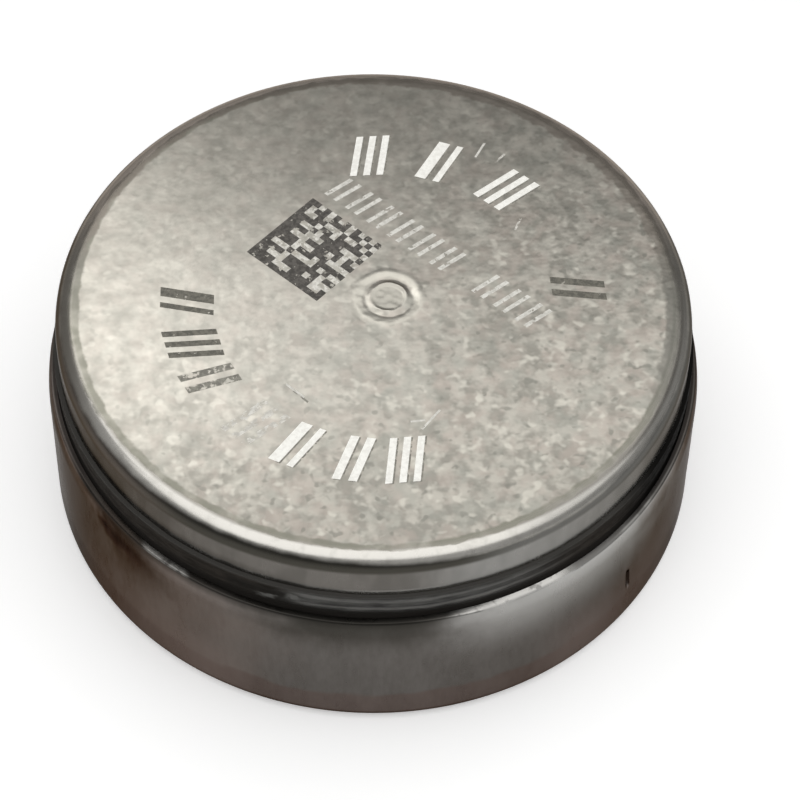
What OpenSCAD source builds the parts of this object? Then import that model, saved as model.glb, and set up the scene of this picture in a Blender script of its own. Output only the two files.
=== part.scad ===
// Rechargeable lithium coin cell: a deep-drawn cup and a narrower lid pushed into it, with a
// plastic film between their walls, closed round a wound pair of electrode strips.
// Millimetres, +Z up, origin at the centre of the cup's underside.

/* [Cell] */
// Outside diameter over the cup's wall
cell_d = 14.1; // [12.1:0.1:16.1]
// Height from the cup's underside to the lid's face
cell_h = 5.4; // [4.8:0.1:6.4]

/* [Cup] */
// Sheet thickness of the cup
cup_t = 0.12; // [0.1:0.01:0.15]
// Outside radius of the bend round the cup's floor
cup_corner_r = 0.3; // [0.25:0.05:0.5]
// Height of the cup's cut rim
rim_z = 3.55; // [3:0.05:3.8]
// How far the rim is drawn in from the wall
rim_draw = 0.06; // [0.04:0.01:0.08]
// Height over which the wall curves in to the rim
rim_curve_h = 0.45; // [0.35:0.05:0.6]
// Rounding of the rim's outer edge
rim_round_r = 0.04; // [0.02:0.01:0.06]

/* [Lid] */
// Sheet thickness of the lid
lid_t = 0.12; // [0.1:0.01:0.15]
// Outside radius of the shoulder round the lid's face
lid_shoulder_r = 0.4; // [0.3:0.02:0.5]

/* [Seal film] */
// Thickness of the film between the two walls
film_t = 0.08; // [0.06:0.01:0.1]
// How far the film stands out above the cup's rim
film_collar_h = 0.75; // [0.4:0.05:0.9]
// Height of the film's lip folded up inside the lid's cut edge
film_lip_h = 0.5; // [0.3:0.05:0.8]

/* [Winding] */
// Width of the hollow that the winding mandrel leaves
hollow_d = 1.5; // [1.4:0.1:2.4]
// Thickness of the coated positive strip
cathode_t = 0.13; // [0.12:0.01:0.16]
// Thickness of the coated negative strip
anode_t = 0.13; // [0.12:0.01:0.16]
// Thickness of each separator
separator_t = 0.02; // [0.02:0.005:0.03]
// How far the separators stand past the negative strip at each edge
anode_margin = 0.12; // [0.08:0.02:0.2]
// How far the negative strip stands past the positive strip at each edge
cathode_margin = 0.1; // [0.06:0.02:0.16]
// Thickness of the tape round the winding
tape_t = 0.04; // [0.03:0.01:0.05]
// Width of the tape
tape_h = 3.4; // [2.4:0.1:3.8]

/* [Conductor foils] */
// Thickness of both conductor foils
foil_t = 0.06; // [0.04:0.01:0.08]
// Inside radius of the foils' bends
foil_bend_r = 0.1; // [0.08:0.01:0.12]
// Width of the positive foil, which lies on the cup's floor
cup_foil_w = 1.2; // [1:0.1:1.4]
// Length of the positive foil's leg up the inner turn
cup_foil_leg = 3.6; // [2:0.1:4]
// Reach of the positive foil past the middle of the hollow
cup_foil_reach = 3.5; // [2:0.1:5]
// Bearing of the positive foil's leg round the hollow
cup_foil_bearing = 90; // [80:5:100]
// Width of the negative foil, which lies under the lid's face
lid_foil_w = 2.6; // [2.2:0.1:3]
// Length of the negative foil's leg down the outer turn
lid_foil_leg = 3.2; // [2:0.1:4]
// Reach of the negative foil past the middle of the winding
lid_foil_reach = 1.6; // [1.4:0.1:3]
// Bearing of the negative foil's leg round the winding
lid_foil_bearing = 340; // [320:5:345]

/* [Insulating discs] */
// Thickness of both discs
disc_t = 0.05; // [0.04:0.01:0.06]
// Gap between each disc's edge and the bend next to it
disc_gap = 0.06; // [0.04:0.01:0.1]

/* [Weld traces] */
// Radius of the narrow round groove over the weld
weld_r = 0.54; // [0.5:0.01:0.58]
// Radius of the narrow groove's section
weld_bead_r = 0.1; // [0.08:0.01:0.12]
// Depth of the narrow groove
weld_depth = 0.03; // [0.02:0.005:0.04]
// Radius of the shallow groove round the narrow one
halo_r = 0.8; // [0.76:0.01:0.84]
// Radius of the shallow groove's section
halo_bead_r = 0.2; // [0.15:0.01:0.25]
// Depth of the shallow groove
halo_depth = 0.01; // [0.005:0.005:0.015]
// Place of the lid's weld trace across the face
lid_weld_at = [0.3, 0.08]; // [-0.5:0.01:0.5]

/* [Hidden] */

// How far a cutting shape runs past the face that it cuts
past = 0.5;

// The seam: three sheets one inside the other, curving in together below the cup's rim.
// A depth is measured inward from the cup's skin.
cup_r = cell_d / 2;
curve_z = rim_z - rim_curve_h;
curve_r = (rim_curve_h * rim_curve_h + rim_draw * rim_draw) / (2 * rim_draw);
curve_x = cup_r - curve_r;
film_depth = cup_t;
lid_depth = cup_t + film_t;
film_foot_z = cup_corner_r;
lid_foot_z = film_foot_z + film_t;
film_lip_inner_r = cup_r - lid_depth - lid_t - film_t;

// Radius of a sheet's skin where the seam curve ends, at the height of the rim
function rim_skin_r(depth) = curve_x + sqrt(pow(curve_r - depth, 2) - pow(rim_curve_h, 2));

// The lid's neck stands straight up out of the rim
neck_r = rim_skin_r(lid_depth);
shoulder_x = neck_r - lid_shoulder_r;
shoulder_z = cell_h - lid_shoulder_r;

// Centre of the rounding on the rim's outer edge, and its bearing from the seam curve's centre
rim_round_z = rim_curve_h - rim_round_r;
rim_round_x = sqrt(pow(curve_r - rim_round_r, 2) - pow(rim_round_z, 2));
rim_round_a = atan2(rim_round_z, rim_round_x);

// What lies between the two faces, from the floor up
cup_disc_z = cup_t + foil_t;
winding_z = cup_disc_z + disc_t;
lid_foil_z = cell_h - lid_t - foil_t;
lid_disc_z = lid_foil_z - disc_t;
winding_h = lid_disc_z - winding_z;
anode_z = winding_z + anode_margin;
cathode_z = anode_z + cathode_margin;

// The winding's layers, from the inside out
separator_in = cathode_t;
anode_in = separator_in + separator_t;
anode_out = anode_in + anode_t;
pitch = anode_out + separator_t;

// The winding runs in half circles about two centres, each wider than the last by half a pitch
hollow_r = hollow_d / 2;
side_room = min(neck_r - lid_t, film_lip_inner_r) - tape_t - foil_t;
top_room = shoulder_x + foil_bend_r;
turns = floor((min(side_room, top_room) - hollow_r - anode_out) / pitch);
last_half = 2 * turns - 1;

// Distance of the even half turns' centre from the axis, towards -X; the odd ones' is towards +X
wind_shift = pitch / 4;

// Inner radius of a half turn at a depth outward from its inmost layer
function half_turn_r(i, depth) = hollow_r + wind_shift + i * pitch / 2 + depth;

inner_turn_r = half_turn_r(0, 0);
outer_turn_r = half_turn_r(last_half, anode_out);

$fn = 96;

// A quarter of a disc in the corner between +X and +Y
module quarter(r) {
    intersection() {
        circle(r = r);
        square(r);
    }
}

// Half section of all that lies inside the seam's skin at a depth
module seam_fill(depth, z_low) {
    translate([0, z_low])
        square([cup_r - depth, curve_z - z_low]);
    intersection() {
        translate([curve_x, curve_z])
            circle(r = curve_r - depth);
        translate([0, curve_z])
            square([cup_r, rim_curve_h]);
    }
    translate([0, curve_z])
        square([curve_x, rim_curve_h]);
}

// Half section of all that lies inside the cup's skin at a depth
module cup_fill(depth) {
    seam_fill(depth, cup_corner_r);
    translate([0, depth])
        square([cup_r - cup_corner_r, cup_corner_r - depth]);
    translate([cup_r - cup_corner_r, cup_corner_r])
        mirror([0, 1])
            quarter(cup_corner_r - depth);
}

// Half section of all that lies inside the lid's skin at a depth under that skin
module lid_fill(depth, z_low) {
    seam_fill(lid_depth + depth, z_low);
    translate([0, curve_z])
        square([neck_r - depth, shoulder_z - curve_z]);
    translate([0, curve_z])
        square([shoulder_x, cell_h - depth - curve_z]);
    translate([shoulder_x, shoulder_z])
        quarter(lid_shoulder_r - depth);
}

// The sharp corner outside the rim's rounding
module rim_corner() {
    away = 3 * rim_round_r;
    translate([curve_x + rim_round_x, curve_z + rim_round_z])
        polygon([[0, 0], [away * cos(rim_round_a), away * sin(rim_round_a)], [away, away],
                 [0, away]]);
}

// A weld's round trace, to be cut from a face at z = 0 that looks up
module weld_trace() {
    rotate_extrude()
        translate([weld_r, weld_bead_r - weld_depth])
            circle(r = weld_bead_r);
    rotate_extrude()
        translate([halo_r, halo_bead_r - halo_depth])
            circle(r = halo_bead_r);
}

// Outer casing half, drawn from one disc of sheet
module cell_cup() {
    color("dimgray")
        difference() {
            rotate_extrude() {
                difference() {
                    cup_fill(0);
                    cup_fill(cup_t);
                    rim_corner();
                }
                translate([curve_x + rim_round_x, curve_z + rim_round_z])
                    circle(r = rim_round_r);
            }
            mirror([0, 0, 1])
                weld_trace();
        }
}

// Inner casing half, drawn from one disc of sheet
module cell_lid() {
    color("silver")
        difference() {
            rotate_extrude()
                difference() {
                    lid_fill(0, lid_foot_z);
                    lid_fill(lid_t, lid_foot_z - past);
                }
            translate([lid_weld_at[0], lid_weld_at[1], cell_h])
                weld_trace();
        }
}

// Film sleeve between the walls, turned up inside the lid's cut edge, its collar above the rim
module seal_film() {
    color("black")
        rotate_extrude()
            difference() {
                union() {
                    seam_fill(film_depth, film_foot_z);
                    translate([0, rim_z])
                        square([rim_skin_r(film_depth), film_collar_h]);
                }
                seam_fill(lid_depth, lid_foot_z + film_lip_h);
                translate([0, curve_z])
                    square([neck_r, cell_h]);
                translate([film_lip_inner_r + film_t, lid_foot_z])
                    square([lid_t, film_lip_h]);
                translate([0, film_foot_z - past])
                    square([film_lip_inner_r, cell_h]);
            }
}

// One strip of the winding through a range of half turns
module wound_strip(depth, thick, z_low, height, first, last) {
    for (i = [first : last])
        rotate([0, 0, i % 2 == 0 ? 0 : 180])
            translate([-wind_shift, 0, z_low])
                rotate_extrude(angle = 180)
                    translate([half_turn_r(i, depth), 0])
                        square([thick, height]);
}

// Aluminium foil coated on both faces
module cathode_strip() {
    color("#34343a")
        wound_strip(0, cathode_t, cathode_z, winding_h - 2 * (anode_margin + cathode_margin), 0,
                    last_half - 2);
}

// Copper foil coated on both faces, longer than the positive strip and wider on both edges
module anode_strip() {
    color("#3d3a38")
        wound_strip(anode_in, anode_t, anode_z, winding_h - 2 * anode_margin, 0, last_half);
}

// Porous film on the outer side of the positive strip
module inner_separator() {
    color("white")
        wound_strip(separator_in, separator_t, winding_z, winding_h, 0, last_half);
}

// Porous film on the outer side of the negative strip, all but its last half turn
module outer_separator() {
    color("white")
        wound_strip(anode_out, separator_t, winding_z, winding_h, 0, last_half - 1);
}

// Tape drawn round the last half turn and the foil that lies on it
module winding_tape() {
    color("goldenrod")
        translate([wind_shift, 0, (winding_z + lid_disc_z - tape_h) / 2])
            difference() {
                cylinder(h = tape_h, r = outer_turn_r + foil_t + tape_t);
                translate([0, 0, -past])
                    cylinder(h = cell_h, r = outer_turn_r + foil_t);
            }
}

// Section of a foil that turns from flat at z = 0 to a leg standing up with its face at a radius.
// bend_x is the middle of the bend.
module foil_section(bend_x, leg) {
    square([bend_x, foil_t]);
    translate([bend_x, foil_t + foil_bend_r])
        mirror([0, 1])
            difference() {
                quarter(foil_bend_r + foil_t);
                circle(r = foil_bend_r);
            }
    translate([bend_x + foil_bend_r, foil_t + foil_bend_r])
        square([foil_t, leg]);
}

// A conductor foil: its leg curls with the turn that it lies on, its flat part crosses the middle
module foil(bend_x, leg, w, reach) {
    intersection() {
        rotate_extrude()
            foil_section(bend_x, leg);
        translate([0, -w / 2, 0])
            cube([cell_d, w, cell_h]);
    }
    translate([-reach, -w / 2, 0])
        cube([reach, w, foil_t]);
}

// Positive foil, from the winding's inner turn to the cup's floor
module cup_foil() {
    color("gainsboro")
        translate([-wind_shift, 0, cup_t])
            rotate([0, 0, cup_foil_bearing])
                foil(inner_turn_r - foil_t - foil_bend_r, cup_foil_leg, cup_foil_w,
                     cup_foil_reach);
}

// Negative foil, from the winding's outer turn to the lid's face
module lid_foil() {
    color("#b87333")
        translate([wind_shift, 0, cell_h - lid_t])
            mirror([0, 0, 1])
                rotate([0, 0, lid_foil_bearing])
                    foil(outer_turn_r - foil_bend_r, lid_foil_leg, lid_foil_w, lid_foil_reach);
}

// Insulating disc over the cup's floor, open under the winding's hollow
module cup_disc() {
    corner = cup_corner_r - cup_t;
    bend_reach = sqrt(pow(corner, 2) - pow(cup_corner_r - cup_disc_z, 2));
    color("#c98a2b")
        translate([0, 0, cup_disc_z])
            difference() {
                cylinder(h = disc_t, r = cup_r - cup_corner_r + bend_reach - disc_gap);
                translate([0, 0, -past])
                    cylinder(h = cell_h, r = hollow_r + 2 * wind_shift);
            }
}

// Insulating disc on top of the winding, inside the negative foil's bend
module lid_disc() {
    color("#c98a2b")
        translate([wind_shift, 0, lid_disc_z])
            cylinder(h = disc_t, r = outer_turn_r - foil_bend_r - disc_gap);
}

cell_cup();
cell_lid();
seal_film();
cathode_strip();
anode_strip();
inner_separator();
outer_separator();
winding_tape();
cup_foil();
lid_foil();
cup_disc();
lid_disc();
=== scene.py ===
import math

import bpy
from mathutils import Matrix, Vector, noise
from mathutils.geometry import delaunay_2d_cdt


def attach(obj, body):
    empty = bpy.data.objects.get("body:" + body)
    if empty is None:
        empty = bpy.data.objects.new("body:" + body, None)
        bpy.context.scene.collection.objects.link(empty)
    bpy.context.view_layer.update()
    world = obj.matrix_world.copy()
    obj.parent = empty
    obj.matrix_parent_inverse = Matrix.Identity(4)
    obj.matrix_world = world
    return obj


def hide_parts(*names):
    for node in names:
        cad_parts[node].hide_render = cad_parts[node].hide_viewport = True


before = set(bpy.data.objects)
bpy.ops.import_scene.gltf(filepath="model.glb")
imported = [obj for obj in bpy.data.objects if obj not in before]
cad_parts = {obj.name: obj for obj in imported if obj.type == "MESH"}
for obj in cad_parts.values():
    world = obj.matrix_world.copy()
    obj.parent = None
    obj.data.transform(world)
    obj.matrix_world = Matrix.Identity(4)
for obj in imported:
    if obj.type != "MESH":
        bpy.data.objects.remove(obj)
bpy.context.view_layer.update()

MM = 0.001

# Sizes of the part in millimetres, as in its source
CELL_R, CELL_H = 7.05, 5.4
CUP_T, CORNER_R, RIM_Z, RIM_ROUND = 0.12, 0.3, 3.55, 0.04
CURVE_H, RIM_DRAW = 0.45, 0.06
LID_T, SHOULDER_R = 0.12, 0.4
FILM_T, COLLAR_H, LIP_H = 0.08, 0.75, 0.5
WELD_AT, WELD_AREA_R = (0.3, 0.08), 0.9

# The nick in the cup's wall: its bearing in degrees and its lower and upper end
NICK_A, NICK_Z = -39.0, (1.15, 1.95)
NICK_MID = sum(NICK_Z) / 2

# The seam's common curve and where the sheets end, worked out as in the part's source
CURVE_Z = RIM_Z - CURVE_H
CURVE_R = (CURVE_H**2 + RIM_DRAW**2) / (2 * RIM_DRAW)
CURVE_X = CELL_R - CURVE_R
FILM_FOOT = CORNER_R
LID_FOOT = FILM_FOOT + FILM_T


def seam_r(depth, z):
    """Radius of a sheet's skin in the seam, at a depth inward from the cup's skin."""
    if z <= CURVE_Z:
        return CELL_R - depth
    return CURVE_X + math.sqrt((CURVE_R - depth) ** 2 - (min(z, RIM_Z) - CURVE_Z) ** 2)


NECK_R = seam_r(CUP_T + FILM_T, RIM_Z)
SHOULDER_X, SHOULDER_Z = NECK_R - SHOULDER_R, CELL_H - SHOULDER_R


def wave(*at):
    """Smooth noise, about -1 to 1, the same on every run."""
    return noise.noise(Vector(at))


def ramp(x, a, b):
    """0 before a, 1 after b, smooth between."""
    t = min(1.0, max(0.0, (x - a) / (b - a)))
    return t * t * (3 - 2 * t)


def bell(x, at, width):
    """1 at a place, falling off on both sides over a width."""
    return math.exp(-(((x - at) / width) ** 2))


def around(t, at, width):
    """1 at a bearing in degrees, falling off over a width."""
    return bell((math.degrees(t) - at + 180) % 360 - 180, 0, width)


# ---- camera ----

# Fitted to the cell's rings in the photograph: degrees, millimetres, pixels, degrees, pixels
ELEVATION, DISTANCE, FOCAL, ROLL = 52.135, 70.70, 3228.5, -0.651
CENTRE = (373.37, 378.24)
PICTURE = 800


def make_camera():
    """The photograph's view of the cell."""
    e = math.radians(ELEVATION)
    back = Vector((0, -math.cos(e), math.sin(e)))
    up = Vector((0, math.sin(e), math.cos(e)))
    turn = Matrix((Vector((1, 0, 0)), up, back)).transposed()
    # the aim passes a little beside the cell, so that the cell lies where the photograph has it
    yaw = -math.atan((CENTRE[0] - PICTURE / 2) / FOCAL)
    pitch = math.atan((CENTRE[1] - PICTURE / 2) / FOCAL)
    turn = turn @ Matrix.Rotation(math.radians(-ROLL), 3, "Z")
    turn = turn @ Matrix.Rotation(-yaw, 3, "Y") @ Matrix.Rotation(pitch, 3, "X")
    data = bpy.data.cameras.new("camera")
    data.sensor_width = 36
    data.lens = FOCAL / PICTURE * data.sensor_width
    data.clip_start = 0.002
    data.clip_end = 20
    camera = bpy.data.objects.new("camera", data)
    at = Vector((0, 0, CELL_H / 2)) + back * DISTANCE
    camera.matrix_world = Matrix.Translation(at * MM) @ turn.to_4x4()
    bpy.context.scene.collection.objects.link(camera)
    bpy.context.scene.camera = camera


make_camera()


# ---- material helpers ----


class Paint:
    """A material whose nodes read the place on the part in millimetres."""

    def __init__(self, name):
        self.mat = bpy.data.materials.new(name)
        self.mat.use_nodes = True
        self.tree = self.mat.node_tree
        self.tree.nodes.clear()
        self.out = self.node("ShaderNodeOutputMaterial")
        where = self.node("ShaderNodeTexCoord").outputs["Object"]
        self.mm = self.vector("SCALE", v0=where, Scale=1000.0).outputs[0]
        self.x, self.y, self.z = self.node("ShaderNodeSeparateXYZ", v0=self.mm).outputs
        flat = self.node("ShaderNodeCombineXYZ", X=self.x, Y=self.y).outputs[0]
        self.r = self.vector("LENGTH", v0=flat).outputs["Value"]
        self.bearing = self.math("DEGREES", self.math("ARCTAN2", self.y, self.x))

    def node(self, kind, props=None, **sockets):
        """A node; v0, v1 and so on name an input by its number, all others by its label."""
        n = self.tree.nodes.new(kind)
        for key, value in (props or {}).items():
            setattr(n, key, value)
        for key, value in sockets.items():
            numbered = key[0] == "v" and key[1:].isdigit()
            s = n.inputs[int(key[1:]) if numbered else key.replace("_", " ")]
            if isinstance(value, bpy.types.NodeSocket):
                self.tree.links.new(value, s)
            else:
                s.default_value = value
        return n

    def vector(self, op, **sockets):
        return self.node("ShaderNodeVectorMath", {"operation": op}, **sockets)

    def math(self, op, a, b=0.0, clamp=False):
        props = {"operation": op, "use_clamp": clamp}
        return self.node("ShaderNodeMath", props, v0=a, v1=b).outputs[0]

    def plus(self, a, b):
        return self.math("ADD", a, b)

    def minus(self, a, b):
        return self.math("SUBTRACT", a, b)

    def most(self, a, b):
        return self.math("MAXIMUM", a, b)

    def times(self, product, *factors):
        """The product of all."""
        for factor in factors:
            product = self.math("MULTIPLY", product, factor)
        return product

    def distance(self, point):
        """Millimetres from a point."""
        return self.vector("DISTANCE", v0=self.mm, v1=point).outputs["Value"]

    def step(self, value, a, b, low=0.0, high=1.0):
        """low before a, high after b, smooth between."""
        n = self.node("ShaderNodeMapRange", {"interpolation_type": "SMOOTHSTEP"}, Value=value)
        for label, number in (("From Min", a), ("From Max", b), ("To Min", low), ("To Max", high)):
            n.inputs[label].default_value = number
        return n.outputs["Result"]

    def band(self, value, a, b, c, d):
        """0, rising from a to b to 1, falling from c to d to 0."""
        return self.times(self.step(value, a, b), self.step(value, c, d, 1.0, 0.0))

    def noise(self, scale, detail=3.0, stretch=(1, 1, 1), rough=0.55, offset=(0, 0, 0)):
        at = self.node("ShaderNodeMapping", v0=self.mm, Scale=stretch, Location=offset).outputs[0]
        n = self.node("ShaderNodeTexNoise", Vector=at, Scale=scale, Detail=detail, Roughness=rough)
        return n.outputs["Fac"]

    def sway(self, width, scale, detail, offset=(0, 0, 0)):
        """Noise about 0, to move an edge by."""
        return self.times(self.minus(self.noise(scale, detail, offset=offset), 0.5), width)

    def mix(self, fac, a, b):
        """The colour a where fac is 0, b where it is 1."""
        n = self.node("ShaderNodeMix", {"data_type": "RGBA"})
        for key, value in (("Factor", fac), ("A", a), ("B", b)):
            s = next(i for i in n.inputs if i.name == key and i.enabled)
            if isinstance(value, bpy.types.NodeSocket):
                self.tree.links.new(value, s)
            else:
                s.default_value = (*value, 1.0)
        return next(o for o in n.outputs if o.enabled)

    def bump(self, height, distance):
        """A normal that follows a height, which at 1 stands for the distance in millimetres."""
        return self.node("ShaderNodeBump", Height=height, Distance=distance * MM).outputs[0]

    def finish(self, color, roughness, metallic=0.0, normal=None, **more):
        """Links the surface shader and returns the material."""
        n = self.node("ShaderNodeBsdfPrincipled", Base_Color=color, Roughness=roughness,
                      Metallic=metallic, **more)
        if normal:
            self.tree.links.new(normal, n.inputs["Normal"])
        self.tree.links.new(n.outputs[0], self.out.inputs["Surface"])
        return self.mat


# ---- materials ----
#
# Places are millimetres in the part's frame: the photograph looks along +Y, so that -Y is the
# front, -X the left and +X the right of what shows. Angles are bearings in degrees.

# Colours that several materials use
PAINTED_LIGHT_METAL = (0.80, 0.77, 0.69)
RUBBED_METAL = (0.60, 0.575, 0.505)
SHADED_METAL = (0.06, 0.058, 0.05)


def face_grain(p):
    """Height of the blasted grain and its strength, greater towards the front right of the face."""
    clumps = p.noise(2.7, 1.0, offset=(5, 3, 0))
    fine = p.noise(6.0, 1.0, rough=0.5)
    amount = p.step(p.minus(p.x, p.y), -7.0, 5.0, 0.4, 1.0)
    grain = p.plus(p.times(clumps, 0.6), p.times(fine, 0.4))
    return grain, amount


def face_tone(p, grain, amount):
    """Colour of the bare face, with painted light on the left and painted shade at the back right
    and front.
    """
    tone = p.times(p.minus(grain, 0.5), amount)
    base = p.mix(p.step(tone, -0.13, 0.13), (0.30, 0.286, 0.25), (0.48, 0.455, 0.40))
    # warm and cool blotches
    warm = p.step(p.noise(2.3, 2.0, offset=(2, 9, 4)), 0.42, 0.66, 0.0, 0.55)
    base = p.mix(p.times(warm, amount), base, (0.43, 0.375, 0.33))
    cool = p.step(p.noise(1.9, 2.0, offset=(12, 1, 7)), 0.46, 0.68, 0.0, 0.42)
    base = p.mix(p.times(cool, amount), base, (0.33, 0.335, 0.295))
    # dark and pale flecks
    fleck = p.step(p.noise(4.6, 1.0, offset=(3, 14, 9)), 0.60, 0.76, 0.0, 0.65)
    base = p.mix(p.times(fleck, amount), base, (0.21, 0.207, 0.18))
    pale = p.step(p.noise(3.9, 1.0, offset=(8, 4, 15)), 0.56, 0.76, 0.0, 0.8)
    base = p.mix(p.times(pale, amount), base, RUBBED_METAL)
    # painted light: paler left of the middle and at the left edge
    base = p.mix(p.step(p.distance((-2.0, -1.0, CELL_H)), 4.6, 1.2, 0.0, 0.17), base, PAINTED_LIGHT_METAL)
    base = p.mix(p.step(p.x, -3.6, -5.6, 0.0, 0.07), base, PAINTED_LIGHT_METAL)
    # painted shade: darker at the back right and towards the front
    back_right = p.times(p.step(p.x, 1.5, 4.5, 0.0, 0.08), p.step(p.y, -2.5, 0.5))
    base = p.mix(back_right, base, SHADED_METAL)
    return p.mix(p.step(p.y, -2.6, -5.6, 0.0, 0.1), base, SHADED_METAL)


def lid_edge_reflection(p, base):
    """The painted dark reflection round the face: the new colour, and how strongly the line shows.
    """
    # further out on the left, where it meets the shoulder
    rag = p.sway(0.16, 3.0, 4.0, offset=(7, 1, 0))
    out = p.plus(p.plus(p.r, rag), p.step(p.x, -5.0, 4.0, 0.03, -0.05))
    limit = p.minus(out, p.step(p.x, -5.0, -5.8, 0.0, 0.07))
    edge = p.times(p.step(out, 6.26, 6.33), p.step(limit, 6.43, 6.47, 1.0, 0.0))
    edge = p.times(edge, p.step(p.noise(1.6, 2.0, offset=(1, 6, 2)), 0.36, 0.56, 0.6, 0.95))
    base = p.mix(edge, base, (0.205, 0.2, 0.165))
    # the painted dark reflection is wider and more ragged at the back, where it is brown, and at
    # the far right
    torn = p.plus(p.r, p.sway(0.3, 3.6, 4.0, offset=(2, 5, 8)))
    torn = p.plus(torn, p.step(p.x, -4.0, 3.0, -0.09, 0.0))
    rear = p.most(p.step(p.y, -1.0, 1.5), p.step(p.x, 5.5, 6.3))
    brown = p.mix(p.step(p.y, 2.5, 0.0), (0.215, 0.19, 0.163), (0.165, 0.161, 0.142))
    return p.mix(p.times(p.step(torn, 6.15, 6.25), rear, 0.8), base, brown), edge


def lid_shoulder(p, base, edge):
    """The polished shoulder, with painted dark reflection at the back, on the left, at the right
    and along its inner edge.
    """
    shoulder = p.times(p.step(p.r, 6.38, 6.43), p.step(p.z, 5.1, 5.24))
    painted_dark = p.most(p.step(p.y, -3.2, 1.5), p.step(p.x, -5.3, -6.6))
    inner = p.step(p.plus(p.r, p.step(p.x, 0.5, 6.2, 0.0, -0.13)), 6.50, 6.42)
    inner = p.times(inner, p.step(p.x, -6.0, 4.0, 0.65, 1.0))
    polish = p.mix(p.most(painted_dark, inner), (0.64, 0.62, 0.575), (0.25, 0.232, 0.204))
    # painted dark reflection at the right, and a painted brown reflection at the back
    polish = p.mix(p.step(p.x, 2.2, 4.0, 0.0, 0.42), polish, (0.22, 0.215, 0.20))
    polish = p.mix(p.step(p.y, 0.8, 3.6), polish, (0.52, 0.458, 0.4))
    spots = p.step(p.noise(3.2, 3.0, offset=(9, 9, 1)), 0.45, 0.7, 0.0, 0.22)
    polish = p.mix(spots, polish, (0.30, 0.29, 0.26))
    return p.mix(p.times(shoulder, p.minus(1.0, p.times(edge, 0.8))), base, polish)


def lid_wall(p, base, streak):
    """The painted dark reflection line under the shoulder, lower on the right, and the wall below
    it with painted reflections.
    """
    # painted dark reflection: a line under the shoulder
    height = p.plus(p.plus(p.z, p.sway(0.08, 2.0, 3.0)), p.step(p.x, -2.4, 4.0, -0.01, 0.095))
    height = p.minus(height, p.step(p.x, 4.2, 6.0, 0.0, 0.09))
    dark_line_colour = p.mix(p.step(p.x, 1.6, 3.2), (0.055, 0.052, 0.044), (0.125, 0.123, 0.115))
    dark_line_colour = p.mix(p.step(p.x, -3.4, -5.4), dark_line_colour, (0.098, 0.085, 0.073))
    base = p.mix(p.step(height, 5.32, 5.22), base, dark_line_colour)
    # painted reflections: dark and brown on the left, light grey on the right, dark again at the
    # far right
    streaky = p.step(streak, 0.35, 0.65)
    light = p.mix(streaky, (0.23, 0.228, 0.218), (0.275, 0.27, 0.258))
    dark = p.mix(streaky, (0.060, 0.050, 0.041), (0.085, 0.073, 0.062))
    turn = p.plus(p.step(p.x, -6.2, -3.2, 0.16, 0.38), p.step(p.x, 0.4, 2.4, 0.0, 0.62))
    wall = p.mix(p.times(turn, p.step(p.x, 6.7, 5.2, 0.45, 1.0)), dark, light)
    # painted shade: a dark line on the left; painted highlight: a bright one all round above the
    # film's edge
    low_left = p.times(p.step(p.z, 4.66, 4.49), p.step(p.x, -1.2, -2.8, 0.0, 0.4))
    wall = p.mix(low_left, wall, (0.06, 0.055, 0.05))
    foot = p.times(p.step(p.z, 4.46, 4.33), p.step(p.x, -3.0, 3.0, 0.4, 0.9))
    wall = p.mix(foot, wall, (0.66, 0.65, 0.62))
    return p.mix(p.step(p.z, 5.07, 4.95), base, wall)


def lid_metal():
    """The lid: bare face with its weld, painted dark reflection round the face, shoulder and wall.
    """
    p = Paint("lid_metal")
    grain, amount = face_grain(p)
    base, edge = lid_edge_reflection(p, face_tone(p, grain, amount))
    # the weld: a rubbed ring, and grey inside it
    away = p.plus(p.distance((*WELD_AT, CELL_H)), p.sway(0.12, 3.5, 2.0))
    base = p.mix(p.times(p.band(away, 0.52, 0.60, 0.70, 0.80), 0.75), base, RUBBED_METAL)
    base = p.mix(p.band(away, -0.2, -0.1, 0.34, 0.42), base, (0.47, 0.45, 0.395))
    base = lid_shoulder(p, base, edge)
    streak = p.noise(2.2, 3.0, stretch=(1, 1, 0.3), offset=(3, 3, 3))
    base = lid_wall(p, base, streak)
    rough = p.plus(p.times(p.step(p.r, 6.44, 6.38), 0.06), p.step(streak, 0.3, 0.7, 0.22, 0.28))
    height = p.times(grain, amount, p.step(p.r, 6.5, 6.36, 0.08, 1.0))
    tint = {"Specular Tint": (0.4, 0.38, 0.36, 1.0)}
    return p.finish(base, rough, 1.0, p.bump(height, 0.014), **tint)


def mark_paint(name, color, low, worn):
    """Laser-etched skin: matt, with the metal showing where it has worn off."""
    p = Paint(name)
    grain, amount = face_grain(p)
    metal = face_tone(p, grain, amount)
    gone = p.step(p.noise(6.5, 4.0, rough=0.65, offset=(11, 4, 2)), worn, worn + 0.06)
    ink = p.mix(p.step(p.noise(11.0, 3.0, offset=(2, 2, 8)), 0.35, 0.65), low, color)
    base = p.mix(gone, ink, metal)
    rough = p.step(gone, 0.0, 1.0, 0.62, 0.4)
    metallic = p.step(gone, 0.0, 1.0, 0.12, 1.0)
    return p.finish(base, rough, metallic, p.bump(grain, 0.01))


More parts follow.
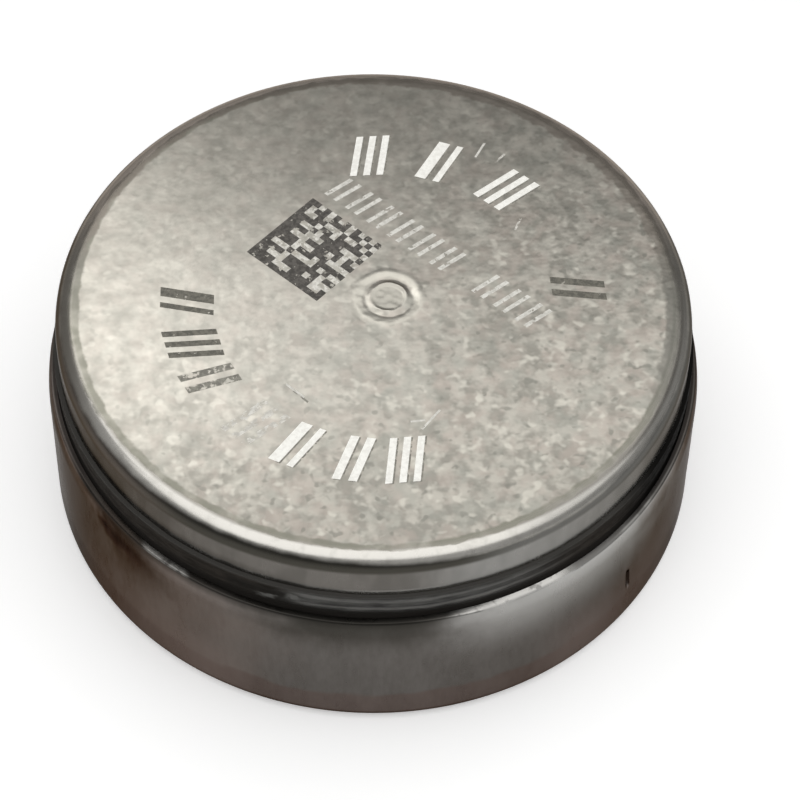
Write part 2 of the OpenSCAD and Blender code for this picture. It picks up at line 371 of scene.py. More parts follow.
def cup_wall(p, tone, cloud):
    """Colour of the cup's wall, with painted reflections, shade and glints, scratches on the rim, a
    blotch and the nick.
    """
    x = p.plus(p.x, p.times(cloud, 2.4))
    z = p.plus(p.z, p.times(cloud, 0.5))
    front = p.step(p.y, 1.0, -2.0)
    streaky = p.step(tone, 0.36, 0.66)
    base = p.mix(streaky, (0.116, 0.108, 0.101), (0.142, 0.133, 0.125))
    # painted brown reflection on the left and at the far right, stronger low on the wall
    sides = p.most(p.step(x, -0.8, -5.0, 0.0, 0.8), p.step(p.x, 5.0, 6.3, 0.0, 0.8))
    base = p.mix(sides, base, p.mix(streaky, (0.165, 0.134, 0.118), (0.190, 0.157, 0.139)))
    low = p.mix(p.step(tone, 0.3, 0.7), (0.112, 0.090, 0.082), (0.136, 0.111, 0.101))
    base = p.mix(p.step(z, 1.02, 0.84, 0.0, 0.9), base, low)
    # painted lighter reflections low on the left and on the right
    left = p.times(p.band(p.x, -6.4, -5.9, -3.6, -2.2), p.step(p.z, 2.2, 0.8), 0.45)
    base = p.mix(left, base, (0.235, 0.192, 0.175))
    right = p.times(p.band(p.x, 3.2, 4.6, 6.2, 6.6), p.step(p.z, 2.6, 1.0), 0.6)
    base = p.mix(right, base, (0.235, 0.200, 0.187))
    # painted reflection: bright under the rim to the right, fading down the wall
    painted_sheen = p.times(p.band(x, 0.7, 3.8, 5.2, 7.0), p.math("POWER", p.step(p.z, 0.9, 3.6), 2.2))
    base = p.mix(p.times(painted_sheen, front, 0.9), base, (0.42, 0.415, 0.40))
    # painted dark reflection under the rim in the middle
    painted_dark = p.times(p.band(x, -3.2, -1.0, 0.4, 2.6), p.step(z, 2.35, 3.5))
    base = p.mix(p.times(painted_dark, front, 0.9), base, (0.036, 0.034, 0.029))
    # shaded close under the rim, all but the right and the far left
    near = p.step(p.x, -6.5, -5.9)
    shade = p.times(p.step(p.plus(p.z, p.times(cloud, 0.2)), 3.3, 3.5), p.step(p.x, 2.0, 0.4), near)
    base = p.mix(p.times(shade, front, 0.6), base, (0.026, 0.024, 0.021))
    lip = p.times(p.step(p.z, 3.46, 3.52), p.step(p.x, 1.8, 0.6), near)
    base = p.mix(p.times(lip, front, 0.7), base, (0.016, 0.015, 0.013))
    # one dark blotch to the left
    blotch = p.times(p.band(x, -5.9, -5.2, -4.9, -3.9), p.step(z, 1.7, 3.5))
    base = p.mix(p.times(blotch, front, 0.8), base, (0.042, 0.033, 0.027))
    # the nick, which leans as its dent in the mesh does
    nick = p.plus(p.bearing, p.times(p.minus(p.z, NICK_MID), 0.9))
    nick = p.band(p.minus(nick, NICK_A), -0.7, -0.4, 0.4, 0.7)
    nick = p.times(nick, p.band(p.z, NICK_Z[0], 1.3, 1.8, NICK_Z[1]), 0.85)
    base = p.mix(nick, base, (0.012, 0.008, 0.006))
    # the cut rim: painted dark, with painted glints along stretches on the right and scratches on
    # the left
    edge = p.times(p.step(p.z, 3.49, 3.53), p.most(near, p.step(p.r, 6.97, 6.95)))
    base = p.mix(p.times(edge, p.minus(0.75, p.times(lip, 0.55))), base, (0.060, 0.056, 0.050))
    worn = p.most(p.band(p.x, 1.5, 2.1, 3.7, 4.3), p.times(p.band(p.x, 5.1, 5.3, 5.8, 6.0), 0.25))
    worn = p.most(worn, p.times(p.band(p.x, -4.8, -4.6, -3.9, -3.7), 0.45))
    worn = p.times(worn, p.step(p.noise(5.0, 3.0, offset=(6, 6, 1)), 0.36, 0.5, 0.35, 1.0))
    base = p.mix(p.times(worn, edge, front), base, (0.50, 0.49, 0.465))
    # painted shade inside the rim, at both ends of what shows
    ends = p.most(p.step(p.x, -5.6, -6.2), p.step(p.x, 4.6, 5.6))
    inside = p.times(p.step(p.r, 6.96, 6.92), p.step(p.z, 3.3, 3.4))
    return p.mix(p.times(ends, inside, 0.85), base, (0.014, 0.012, 0.011))


def cup_metal():
    """The cup: wall with painted reflections and shade, and plain underside."""
    p = Paint("cup_metal")
    streak = p.noise(1.3, 4.0, stretch=(1, 1, 0.25))
    fine = p.noise(9.0, 3.0, stretch=(1, 1, 0.3), offset=(4, 2, 1))
    tone = p.plus(p.times(streak, 0.6), p.times(fine, 0.4))
    cloud = p.minus(p.noise(0.8, 3.0, offset=(8, 5, 3)), 0.5)
    base = cup_wall(p, tone, cloud)
    # the plain underside and the weld's trace in it
    under = p.most(p.step(p.z, 0.02, 0.0), p.step(p.r, 1.1, 1.0))
    grit = p.plus(p.times(p.noise(5.0, 2.0), 0.6), p.times(p.noise(1.1, 2.0), 0.4))
    plain = p.mix(p.step(grit, 0.38, 0.62), (0.33, 0.315, 0.285), (0.44, 0.42, 0.38))
    base = p.mix(under, base, plain)
    rough = p.step(tone, 0.3, 0.7, 0.26, 0.34)
    tint = {"Specular Tint": (0.26, 0.245, 0.23, 1.0)}
    return p.finish(base, rough, 1.0, p.bump(tone, 0.004), **tint)


def film_plastic():
    """The dark film above the rim."""
    p = Paint("film_plastic")
    wrinkle = p.noise(3.0, 4.0, stretch=(0.5, 0.5, 2.5))
    wrinkled = p.step(wrinkle, 0.35, 0.65)
    forward = p.step(p.y, 0.0, -2.0)
    front = p.times(p.band(p.x, -2.1, -1.2, 2.2, 4.6), forward)
    base = p.mix(wrinkled, (0.020, 0.017, 0.014), (0.036, 0.031, 0.026))
    # painted light on level creases, at the front only
    level = p.plus(p.z, p.sway(0.16, 0.7, 2.0, offset=(3, 5, 7)))
    crease = p.most(p.band(level, 4.08, 4.14, 4.2, 4.26), p.band(level, 3.83, 3.88, 3.93, 3.98))
    tone = p.plus(p.times(crease, 0.6), p.times(wrinkled, 0.4))
    base = p.mix(front, base, p.mix(tone, (0.040, 0.039, 0.037), (0.165, 0.162, 0.153)))
    # two painted glints with a painted dark surround, left of the middle
    surround = p.times(p.band(p.x, -3.1, -2.8, -1.7, -1.3), p.band(p.z, 3.6, 3.75, 4.1, 4.25))
    base = p.mix(p.times(surround, forward, 0.5), base, (0.012, 0.012, 0.011))
    jag = p.sway(0.34, 4.5, 2.0, offset=(6, 2, 5))
    along, up = p.plus(p.x, jag), p.plus(p.z, jag)
    left = p.times(p.band(along, -2.42, -2.2, -2.1, -1.9), p.band(up, 3.66, 3.79, 3.84, 3.95))
    right = p.times(p.band(along, -1.8, -1.62, -1.52, -1.34), p.band(up, 3.88, 4.01, 4.06, 4.16))
    base = p.mix(p.times(p.most(left, right), forward, 0.9), base, (0.15, 0.148, 0.14))
    # paler cut edge, painted lighter so that the lid's wall mirrors a lighter line; painted shade
    # down in the gap; painted dark at the far right
    base = p.mix(p.step(p.z, 4.2, 4.29), base, (0.066, 0.063, 0.058))
    base = p.mix(p.step(p.z, 3.9, 3.6), base, (0.02, 0.018, 0.016))
    base = p.mix(p.step(p.x, 4.8, 6.0, 0.0, 0.9), base, (0.002, 0.0018, 0.0016))
    rough = p.minus(p.step(p.noise(5.0, 3.0), 0.3, 0.7, 0.7, 0.8), p.times(front, 0.42))
    return p.finish(base, rough, 0.0, p.bump(wrinkle, 0.02), **{"Specular IOR Level": 0.03})


def coated_foil(name, low, high):
    """Matt powder coating on a foil, with faint lines from the coater."""
    p = Paint(name)
    grit = p.noise(14.0, 4.0)
    lines = p.noise(2.0, 3.0, stretch=(1, 1, 0.1))
    tone = p.plus(p.times(grit, 0.6), p.times(lines, 0.4))
    base = p.mix(p.step(tone, 0.38, 0.62), low, high)
    return p.finish(base, p.step(grit, 0.3, 0.7, 0.75, 0.95), 0.0, p.bump(grit, 0.01))


def thin_film(name, low, high, roughness):
    """Plastic film, lightly clouded."""
    p = Paint(name)
    cloud = p.noise(1.5, 4.0)
    fine = p.noise(12.0, 2.0, offset=(1, 2, 3))
    base = p.mix(p.step(cloud, 0.35, 0.65), low, high)
    rough = p.step(fine, 0.3, 0.7, roughness, roughness + 0.15)
    return p.finish(base, rough, 0.0, p.bump(fine, 0.004))


def bare_foil(name, low, high):
    """Rolled metal sheet."""
    p = Paint(name)
    rolled = p.noise(4.0, 3.0, stretch=(0.1, 1, 1))
    base = p.mix(p.step(rolled, 0.3, 0.7), low, high)
    return p.finish(base, p.step(rolled, 0.3, 0.7, 0.18, 0.34), 1.0, p.bump(rolled, 0.004))


LID = lid_metal()
CUP = cup_metal()
FILM = film_plastic()
# The etched marks, painted as lit and shaded copies of one etching (bright, dark, grey, pale,
# faint), and the code: full colour, its darker patches, and the noise level from which it is worn
# off
BRIGHT = mark_paint("mark_bright", (0.95, 0.94, 0.885), (0.84, 0.825, 0.77), 0.68)
DARK = mark_paint("mark_dark", (0.17, 0.16, 0.13), (0.10, 0.095, 0.078), 0.62)
GREY = mark_paint("mark_grey", (0.27, 0.26, 0.22), (0.18, 0.17, 0.145), 0.52)
PALE = mark_paint("mark_pale", (0.72, 0.705, 0.65), (0.56, 0.545, 0.495), 0.56)
FAINT = mark_paint("mark_faint", (0.72, 0.70, 0.64), (0.52, 0.50, 0.45), 0.48)
CODE = mark_paint("mark_code", (0.11, 0.10, 0.088), (0.05, 0.045, 0.038), 0.60)


# ---- meshes ----

# Edges stay sharp from this angle in degrees
SHARP_FROM = 35
# Steps round the casing, the weld in the lid and the film, and rows across a weld
CASING_STEPS, WELD_STEPS, FILM_STEPS, WELD_ROWS = 288, 96, 360, 44
# The trace under the cup lies this much deeper, so that no ridge stands below the floor
UNDERSIDE_SINK = 0.042


def publish(name, verts, faces, mats, indices, node):
    """A mesh from millimetres, shown in place of a CAD node."""
    mesh = bpy.data.meshes.new(name)
    mesh.from_pydata([(x * MM, y * MM, z * MM) for x, y, z in verts], [], faces)
    for m in mats:
        mesh.materials.append(m)
    if indices:
        mesh.polygons.foreach_set("material_index", indices)
    mesh.polygons.foreach_set("use_smooth", [True] * len(mesh.polygons))
    mesh.set_sharp_from_angle(angle=math.radians(SHARP_FROM))
    mesh.validate()
    mesh.update()
    obj = bpy.data.objects.new(name, mesh)
    bpy.context.scene.collection.objects.link(obj)
    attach(obj, "root")
    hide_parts(node)


def arc(cx, cz, r, a, b, n):
    """Points of an arc from angle a to b in degrees, measured from +r towards +z."""
    return [(cx + r * math.cos(math.radians(a + (b - a) * i / n)),
             cz + r * math.sin(math.radians(a + (b - a) * i / n))) for i in range(n + 1)]


def span(a, b, n):
    """n - 1 points strictly between a and b."""
    return [a + (b - a) * i / n for i in range(1, n)]


def lathe(loop, angles, shift):
    """A closed ring: the loop of (r, z) points turned through the angles, each moved by shift."""
    verts, faces = [], []
    for a in angles:
        t = math.radians(a)
        for r, z in loop:
            r2, z2 = shift(r, z, t)
            verts.append((r2 * math.cos(t), r2 * math.sin(t), z2))
    n, m = len(loop), len(angles)
    for i in range(m):
        j = (i + 1) % m
        for k in range(n):
            q = (k + 1) % n
            faces.append((i * n + k, j * n + k, j * n + q, i * n + q))
    return verts, faces


def even_angles(n, extra=()):
    """Angles all round, finer about each extra one, given as (angle, half width, step)."""
    out = set(round(360 * i / n, 4) for i in range(n))
    for at, half, step in extra:
        out = {a for a in out if abs((a - at + 180) % 360 - 180) > half}
        k = int(half / step)
        out |= {round((at + i * step) % 360, 4) for i in range(-k, k + 1)}
    return sorted(out)


def cap(verts, faces, ring, centre, up):
    """Closes a ring with a fan to its centre."""
    verts.append(centre)
    c = len(verts) - 1
    for i, v in enumerate(ring):
        w = ring[(i + 1) % len(ring)]
        faces.append((v, w, c) if up else (w, v, c))


def cup_shift(r, z, t):
    """Slight unroundness of the drawn wall, an uneven cut rim and one nick."""
    c, s = math.cos(t), math.sin(t)
    outer = ramp(r, 6.8, 6.9)
    r += 0.006 * outer * wave(c * 1.6, s * 1.6, z * 0.5) * ramp(z, 0.3, 1.2)
    r += 0.004 * outer * wave(c * 7, s * 7, z * 0.7 + 5) * ramp(z, 0.3, 1.2)
    rim = ramp(z, RIM_Z - 0.25, RIM_Z)
    z += rim * (0.014 * wave(c * 2.2, s * 2.2, 3.1) + 0.006 * wave(c * 11, s * 11, 1.7))
    slope = 0.14 + 0.1 * wave(c * 4, s * 4, 6.3) + 0.2 * around(t, -60, 14)
    z -= rim * slope * max(0.0, r - seam_r(CUP_T, RIM_Z)) * ramp(z, RIM_Z - 0.06, RIM_Z)
    a = (math.degrees(t) - NICK_A + 180) % 360 - 180
    up = z - NICK_MID
    if abs(a) < 1.2 and abs(up) < 0.5 and r > 6.95:
        r -= 0.06 * bell(a, -0.9 * up, 0.3) * ramp(0.44 - abs(up), 0.0, 0.3)
    return r, z


def make_cup():
    """The cup's section turned round, with the weld's trace in its underside."""
    zr = RIM_Z - RIM_ROUND
    xr = CURVE_X + math.sqrt((CURVE_R - RIM_ROUND) ** 2 - (zr - CURVE_Z) ** 2)
    a0 = math.degrees(math.atan2(zr - CURVE_Z, xr - CURVE_X))
    loop = [(WELD_AREA_R, 0.0), (2.0, 0.0), (4.0, 0.0), (6.0, 0.0)]
    loop += arc(CELL_R - CORNER_R, CORNER_R, CORNER_R, -90, 0, 14)
    loop += [(CELL_R, z) for z in span(CORNER_R, CURVE_Z, 44)]
    loop += [(seam_r(0, z), z) for z in [CURVE_Z] + span(CURVE_Z, zr, 10)]
    loop += arc(xr, zr, RIM_ROUND, a0, 90, 5)
    loop += [(seam_r(CUP_T, RIM_Z), RIM_Z)]
    loop += [(seam_r(CUP_T, z), z) for z in span(RIM_Z, CURVE_Z, 6)]
    loop += [(CELL_R - CUP_T, CURVE_Z), (CELL_R - CUP_T, 2.0)]
    loop += arc(CELL_R - CORNER_R, CORNER_R, CORNER_R - CUP_T, 0, -90, 8)
    loop += [(4.0, CUP_T), (WELD_AREA_R, CUP_T)]
    angles = even_angles(CASING_STEPS, [(NICK_A % 360, 1.2, 0.12)])
    verts, faces = lathe(loop, angles, cup_shift)
    # floor inside the loop's inner ring: the weld's trace below, plain above
    n = len(loop)
    faces = [f for f in faces if not {v % n for v in f} <= {0, n - 1}]
    ring_low = [i * n for i in range(len(angles))]
    ring_top = [i * n + n - 1 for i in range(len(angles))]
    weld_disc(verts, faces, ring_low, angles, (0, 0), 0.0, -1, UNDERSIDE_SINK)
    cap(verts, faces, ring_top, (0, 0, CUP_T), True)
    publish("cup_shell", verts, faces, [CUP], None, "cell_cup")


def weld_height(rho, t):
    """The weld's trace: a broken narrow ridge, a valley round it and a broad low ridge outside."""
    c, s = math.cos(t), math.sin(t)
    strong = min(1.0, around(t, 60, 75) + around(t, -105, 30))
    h = 0.036 * bell(rho, 0.38 + 0.02 * wave(c, s, 2), 0.045) * (0.1 + strong)
    valley = bell(rho, 0.51 + 0.02 * wave(c * 1.5, s * 1.5, 5), 0.055)
    h -= 0.026 * valley * (0.6 + 0.5 * wave(c * 2, s * 2, 4))
    outside = bell(rho, 0.7 + 0.03 * wave(c * 1.2, s * 1.2, 8), 0.08)
    h += 0.013 * outside * (0.8 + 0.7 * wave(c * 1.5, s * 1.5, 9))
    h += 0.006 * bell(rho, 0.0, 0.3) * wave(rho * c * 6, rho * s * 6, 1)
    h += 0.005 * wave(rho * c * 7, rho * s * 7, 3)
    return h * ramp(rho, WELD_AREA_R, 0.84)


def weld_disc(verts, faces, ring, angles, at, z, side, sink=0.0):
    """Fills a ring with circles down to a point, raised and sunk as the weld's trace."""
    levels = [WELD_AREA_R * (1 - i / WELD_ROWS) for i in range(1, WELD_ROWS)]

    def height(rho, t):
        return z + side * (weld_height(rho, t) - sink * ramp(rho, WELD_AREA_R, 0.72))

    rows = [ring]
    for rho in levels:
        row = []
        for a in angles:
            t = math.radians(a)
            row.append(len(verts))
            verts.append((at[0] + rho * math.cos(t), at[1] + rho * math.sin(t), height(rho, t)))
        rows.append(row)
    m = len(angles)
    for outer, inner in zip(rows, rows[1:]):
        for i in range(m):
            j = (i + 1) % m
            quad = (outer[i], outer[j], inner[j], inner[i])
            faces.append(quad if side > 0 else quad[::-1])
    cap(verts, faces, rows[-1], (at[0], at[1], height(0, 0)), side > 0)


# ---- marks on the lid's face ----
#
# Outlines in millimetres, each with its material's index. Where two lie over each other the
# higher index shows. They are plain strokes and a formula's pattern, with no letter or number.

MARKS = []
LID_MATS = [LID, FAINT, GREY, DARK, CODE, PALE, BRIGHT]
IS_FAINT, IS_GREY, IS_DARK, IS_CODE, IS_PALE, IS_BRIGHT = range(1, 7)
RING_AT, RING_R = Vector((0.2, -0.05)), 4.17
STROKE_H, SLANT = 1.14, 0.2


def bar(at, w, h, turn, kind):
    """A slanted stroke about a centre, w wide and h long, turned by an angle in degrees."""
    c, s = math.cos(math.radians(turn)), math.sin(math.radians(turn))
    pts = []
    for u, v in ((-w / 2, -h / 2), (w / 2, -h / 2), (w / 2, h / 2), (-w / 2, h / 2)):
        u += SLANT * v
        pts.append((at.x + u * c - v * s, at.y + u * s + v * c))
    MARKS.append((pts, kind))


def group(angle, kind, strokes, outward):
    """Parallel strokes at a bearing on the marks' circle, each given by place and width."""
    t = math.radians(angle)
    turn = angle - 90 if outward else angle + 90
    along = Vector((math.cos(math.radians(turn)), math.sin(math.radians(turn))))
    up = Vector((-along.y, along.x))
    middle = RING_AT + Vector((math.cos(t), math.sin(t))) * RING_R
    for u, w in strokes:
        bar(middle + along * u, w, STROKE_H, turn, kind)
        # painted shadow: a grey copy of each bright stroke, shifted a little to one side
        if kind == IS_BRIGHT:
            bar(middle + along * (u + 0.035) - up * 0.02, w, STROKE_H, turn, IS_GREY)


# Groups of strokes: their kinds by place and width, then where they stand round the face
EVEN = ((-0.29, 0.15), (0.0, 0.15), (0.29, 0.15))
THICK = ((-0.2, 0.25), (0.16, 0.14))
PAIR = ((-0.17, 0.18), (0.17, 0.18))
BACK_GROUPS = ((94.6, IS_BRIGHT, EVEN), (72.8, IS_BRIGHT, THICK), (50.4, IS_BRIGHT, EVEN),
               (6.1, IS_DARK, PAIR))
FRONT_GROUPS = ((-178.9, IS_DARK, THICK), (-163.6, IS_DARK, EVEN), (-149.9, IS_GREY, PAIR),
                (-129.0, IS_FAINT, EVEN), (-114.1, IS_BRIGHT, THICK), (-98.0, IS_BRIGHT, PAIR),
                (-83.5, IS_BRIGHT, EVEN))
for groups, outward in ((BACK_GROUPS, True), (FRONT_GROUPS, False)):
    for spot, kind, strokes in groups:
        group(spot, kind, strokes, outward)

# A line of short ticks in pairs, with one pair left out
TICK_FROM, TICK_TO = Vector((-0.93, 3.29)), Vector((3.6, -0.55))
TICK_PAIRS, PAIR_LEFT_OUT = 10, 6
TICK_ALONG = (TICK_TO - TICK_FROM).normalized()
TICK_TURN = math.degrees(math.atan2(*TICK_ALONG.yx))
for i in range(TICK_PAIRS):
    if i != PAIR_LEFT_OUT:
        at = TICK_FROM.lerp(TICK_TO, (i + 0.5) / TICK_PAIRS)
        for shift in (-0.125, 0.125):
            bar(at + TICK_ALONG * shift, 0.1, 0.7, TICK_TURN, IS_PALE)

# Fine scratches: place, length, direction
SCRATCHES = ((1.2, -3.16, 0.62, 65, IS_PALE), (0.93, -3.2, 0.3, 20, IS_PALE),
             (-1.62, -2.45, 0.5, -30, IS_PALE), (-1.5, -2.6, 0.42, -33, IS_GREY),
             (2.3, 4.32, 0.5, 75, IS_PALE), (2.75, 4.1, 0.42, 60, IS_FAINT),
             (-2.5, -3.0, 0.5, 70, IS_PALE), (3.1, 2.2, 0.4, 80, IS_FAINT))
for x, y, length, turn, kind in SCRATCHES:
    bar(Vector((x, y)), 0.05, length, turn - 90, kind)

# A square of modules from a formula on a paler ground, solid along two sides
CODE_CORNER, CODE_U, CODE_V = Vector((-2.75, 1.3)), Vector((1.39, 1.55)), Vector((1.53, -1.34))
CODE_N = 14


def code_patch(a, b, c, d, kind):
    """A rectangle of the square, from a to b along one side and from c to d along the other."""
    corners = ((a, c), (b, c), (b, d), (a, d))
    MARKS.append(([tuple(CODE_CORNER + CODE_V * u + CODE_U * v) for u, v in corners], kind))


def module_on(i, j):
    """Whether a module is dark: two solid sides, two broken ones, and a formula inside."""
    if i == 0 or j == 0:
        return True
    if i == CODE_N - 1 or j == CODE_N - 1:
        return (i + j) % 2 == 0
    return (i * i + 2 * j * j + 3 * i * j + i) % 7 < 3 or (i + j * 3) % 5 == 1


code_patch(0, 1, 0, 1, IS_FAINT)
for i in range(CODE_N):
    j = 0
    while j < CODE_N:
        k = j
        while k < CODE_N and module_on(i, k):
            k += 1
        if k > j:
            code_patch(i / CODE_N, (i + 1) / CODE_N, j / CODE_N, k / CODE_N, IS_CODE)
        j = k + 1


def lid_shift(r, z, t):
    """Slight unroundness of the lid's wall."""
    c, s = math.cos(t), math.sin(t)
    low = ramp(z, 5.3, 5.1)
    r += 0.004 * low * wave(c * 2, s * 2, z * 0.6 + 2) + 0.0025 * low * wave(c * 9, s * 9, z)
    return r, z


def make_lid():
    """The lid's section turned round, and its face cut along the marks and round the weld."""
    loop = [(6.3, CELL_H)]
    loop += arc(SHOULDER_X, SHOULDER_Z, SHOULDER_R, 90, 0, 18)
    loop += [(NECK_R, z) for z in span(SHOULDER_Z, RIM_Z, 16)]
    loop += [(seam_r(CUP_T + FILM_T, z), z) for z in [RIM_Z] + span(RIM_Z, CURVE_Z, 6) + [CURVE_Z]]
    loop += [(CELL_R - CUP_T - FILM_T, z) for z in (1.8, LID_FOOT)]
    depth = CUP_T + FILM_T + LID_T
    loop += [(CELL_R - depth, z) for z in (LID_FOOT, 1.8, CURVE_Z)]
    loop += [(seam_r(depth, z), z) for z in span(CURVE_Z, RIM_Z - 0.08, 4)]
    loop += [(NECK_R - LID_T, z) for z in (RIM_Z, 4.2)]
    loop += arc(SHOULDER_X, SHOULDER_Z, SHOULDER_R - LID_T, 0, 90, 8)
    loop += [(3.0, CELL_H - LID_T)]
    angles = even_angles(CASING_STEPS)
    verts, faces = lathe(loop, angles, lid_shift)
    n, m = len(loop), len(angles)
    faces = [f[::-1] for f in faces if not {v % n for v in f} <= {0, n - 1}]
    indices = [0] * len(faces)
    cap(verts, faces, [i * n + n - 1 for i in range(m)], (0, 0, CELL_H - LID_T), False)
    indices += [0] * (len(faces) - len(indices))
    # outlines of the flat face: its edge, the hole for the weld, then the marks
    rim = [i * n for i in range(m)]
    weld_angles = even_angles(WELD_STEPS)
    pts = [Vector(verts[v][:2]) for v in rim]
    hole = [len(pts) + i for i in range(len(weld_angles))]
    for a in weld_angles:
        x = WELD_AT[0] + WELD_AREA_R * math.cos(math.radians(a))
        y = WELD_AT[1] + WELD_AREA_R * math.sin(math.radians(a))
        pts.append(Vector((x, y)))
    outlines = [list(range(m)), hole]
    for shape, _ in MARKS:
        outlines.append([len(pts) + i for i in range(len(shape))])
        pts += [Vector(q) for q in shape]
    out, _, tris, from_pts, _, from_faces = delaunay_2d_cdt(pts, [], outlines, 0, 1e-5)
    at, weld_ring = {}, {}
    for i, origin in enumerate(from_pts):
        for o in origin:
            if o < m:
                at[i] = rim[o]
            elif o < m + len(hole):
                weld_ring[o - m] = i
    for i, q in enumerate(out):
        if i not in at:
            at[i] = len(verts)
            verts.append((q.x, q.y, CELL_H))
    for tri, origin in zip(tris, from_faces):
        if 1 in origin or 0 not in origin:
            continue
        kinds = [MARKS[o - 2][1] for o in origin if o > 1]
        a, b, c = (out[v] for v in tri)
        turned = (b - a).cross(c - a) > 0
        faces.append(tuple(at[v] for v in (tri if turned else tri[::-1])))
        indices.append(max(kinds) if kinds else 0)
    ring = [at[weld_ring[i]] for i in range(len(hole))]
    weld_disc(verts, faces, ring, weld_angles, WELD_AT, CELL_H, 1)
    indices += [0] * (len(faces) - len(indices))
    publish("lid_shell", verts, faces, LID_MATS, indices, "cell_lid")


def film_shift(r, z, t):
    """The collar's cut edge wanders, and the film has low level wrinkles above the rim."""
    c, s = math.cos(t), math.sin(t)
    free = ramp(z, RIM_Z + 0.1, RIM_Z + 0.3)
    outer = ramp(r, NECK_R + 0.02, NECK_R + 0.05)
    near = 0.3 + 0.9 * around(t, -82, 30)
    swell = 0.0
    for k, level in enumerate((4.19, 3.98, 3.81)):
        zk = level + 0.03 * wave(c * 1.7, s * 1.7, 2 + k)
        swell += 0.02 * near * bell(z, zk, 0.042) * (0.8 + 0.8 * wave(c * 3, s * 3, 5 + k))
    swell += 0.02 * around(t, -106, 5) * max(0.0, wave(t * 14, z * 7, 3))
    r += free * outer * (swell + 0.006 * wave(c * 12, s * 12, z * 3))
    r -= outer * 0.045 * bell(z, RIM_Z + 0.1, 0.16) * ramp(z, RIM_Z - 0.1, RIM_Z)
    top = ramp(z, RIM_Z + 0.5, RIM_Z + COLLAR_H)
    z += top * (0.03 * wave(c * 2.5, s * 2.5, 6) + 0.014 * wave(c * 14, s * 14, 3))
    return r, z


def make_film():
    """The film's section turned round: collar, sleeve, foot and the lip inside the lid."""
    top = RIM_Z + COLLAR_H
    outer = seam_r(CUP_T, RIM_Z)
    lip_r = CELL_R - CUP_T - FILM_T - LID_T
    loop = [(NECK_R, top), (outer, top)]
    loop += [(outer, z) for z in span(top, RIM_Z, 26)]
    loop += [(seam_r(CUP_T, z), z) for z in [RIM_Z] + span(RIM_Z, CURVE_Z, 6) + [CURVE_Z]]
    loop += [(CELL_R - CUP_T, z) for z in (1.8, FILM_FOOT)]
    loop += [(lip_r - FILM_T, FILM_FOOT), (lip_r - FILM_T, LID_FOOT + LIP_H)]
    loop += [(lip_r, LID_FOOT + LIP_H), (lip_r, LID_FOOT)]
    loop += [(CELL_R - CUP_T - FILM_T, z) for z in (LID_FOOT, 1.8, CURVE_Z)]
    loop += [(seam_r(CUP_T + FILM_T, z), z) for z in span(CURVE_Z, RIM_Z, 6) + [RIM_Z]]
    verts, faces = lathe(loop, even_angles(FILM_STEPS), film_shift)
    faces = [f[::-1] for f in faces]
    publish("seal_collar", verts, faces, [FILM], None, "seal_film")


make_cup()
make_lid()
make_film()

# ---- the sealed inner pieces keep their solids ----

INNER = {
    "cathode_strip": coated_foil("cathode_coating", (0.035, 0.035, 0.038), (0.065, 0.065, 0.07)),
    "anode_strip": coated_foil("anode_coating", (0.06, 0.056, 0.052), (0.11, 0.104, 0.098)),
    "inner_separator": thin_film("separator_film", (0.80, 0.80, 0.79), (0.88, 0.88, 0.87), 0.5),
    "winding_tape": thin_film("amber_film", (0.50, 0.27, 0.05), (0.70, 0.42, 0.10), 0.2),
    "cup_foil": bare_foil("aluminium_sheet", (0.72, 0.72, 0.73), (0.84, 0.84, 0.85)),
    "lid_foil": bare_foil("nickel_sheet", (0.52, 0.50, 0.46), (0.66, 0.64, 0.59)),
    "cup_disc": thin_film("disc_film", (0.50, 0.30, 0.09), (0.66, 0.43, 0.16), 0.35),
}
INNER["outer_separator"] = INNER["inner_separator"]
INNER["lid_disc"] = INNER["cup_disc"]
for name, mat in INNER.items():
    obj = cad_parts[name]
    for s in obj.material_slots:
        s.material = mat

# ---- floor, light ----

# How much the floor is lifted towards white where the camera sees it or a surface mirrors it
FLOOR_LIFT = 0.36
# Half the card's side and how far it lies below the cell, in metres
FLOOR_HALF, FLOOR_DROP = 1.5, 0.00002
WORLD_LIGHT = 0.36


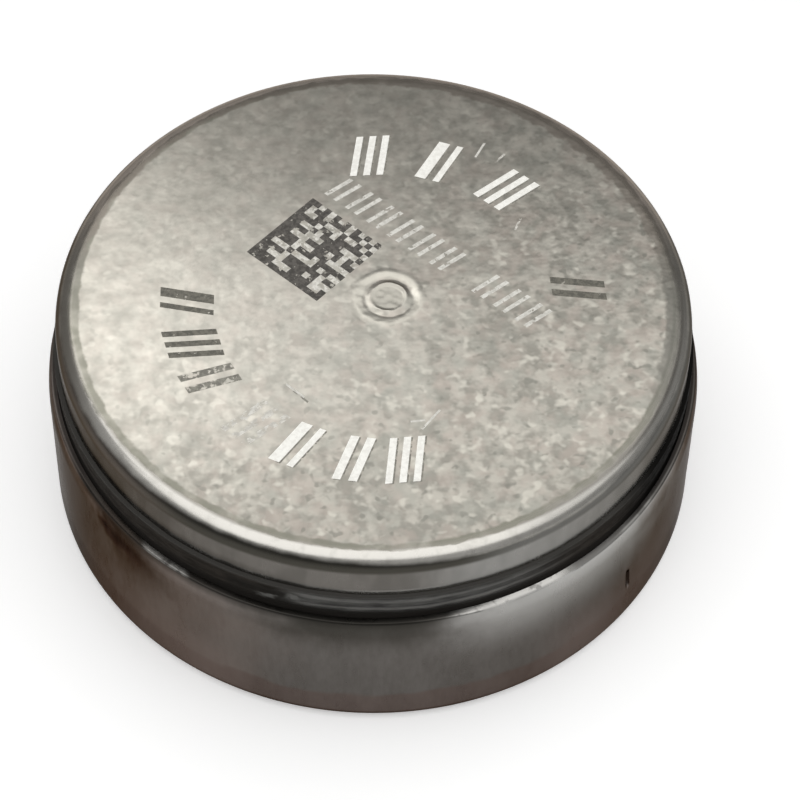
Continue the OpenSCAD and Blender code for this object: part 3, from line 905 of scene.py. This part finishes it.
def make_floor():
    """A pale card under the cell, which keeps the cell's shadow."""
    p = Paint("floor_card")
    tone = p.noise(0.02, 2.0)
    color = p.mix(p.step(tone, 0.3, 0.7), (0.90, 0.90, 0.895), (0.93, 0.93, 0.925))
    p.finish(color, 0.85)
    card = p.out.inputs["Surface"].links[0].from_socket
    ray = p.node("ShaderNodeLightPath").outputs
    seen = p.plus(ray["Is Camera Ray"], ray["Is Glossy Ray"])
    seen = p.math("ADD", seen, ray["Is Transmission Ray"], clamp=True)
    lift = p.times(seen, FLOOR_LIFT)
    glow = p.node("ShaderNodeEmission", Color=(1, 1, 1, 1), Strength=lift).outputs[0]
    total = p.node("ShaderNodeAddShader", v0=card, v1=glow).outputs[0]
    p.tree.links.new(total, p.out.inputs["Surface"])
    mesh = bpy.data.meshes.new("floor")
    corners = [(x * FLOOR_HALF, y * FLOOR_HALF, 0) for x, y in ((-1, -1), (1, -1), (1, 1), (-1, 1))]
    mesh.from_pydata(corners, [], [(0, 1, 2, 3)])
    mesh.materials.append(p.mat)
    floor = bpy.data.objects.new("floor", mesh)
    floor.location.z = -FLOOR_DROP
    bpy.context.scene.collection.objects.link(floor)


def panel(name, at, width, height, radiance):
    """A soft light that looks straight down from a place in mm, of a radiance where 1 is white."""
    data = bpy.data.lights.new(name, "AREA")
    data.shape = "RECTANGLE"
    data.size, data.size_y = width * MM, height * MM
    data.energy = radiance * math.pi * data.size * data.size_y
    lamp = bpy.data.objects.new(name, data)
    down = Vector((0, 0, -1)).to_track_quat("-Z", "Y").to_matrix().to_4x4()
    lamp.matrix_world = Matrix.Translation(Vector(at) * MM) @ down
    bpy.context.scene.collection.objects.link(lamp)


make_floor()
panel("overhead", (2.5, -3.2, 24), 39, 41.5, 1.0)
panel("left_front", (-20, -13, 24), 6, 22, 0.9)
panel("right_front", (28.5, -13, 24), 12, 22, 0.9)
panel("left_back", (-10.5, 14, 23.5), 12, 12, 1.1)

world = bpy.data.worlds.new("studio")
world.use_nodes = True
background = world.node_tree.nodes["Background"].inputs
background["Color"].default_value = (1, 1, 1, 1)
background["Strength"].default_value = WORLD_LIGHT
bpy.context.scene.world = world
bpy.context.scene.view_settings.view_transform = "Standard"
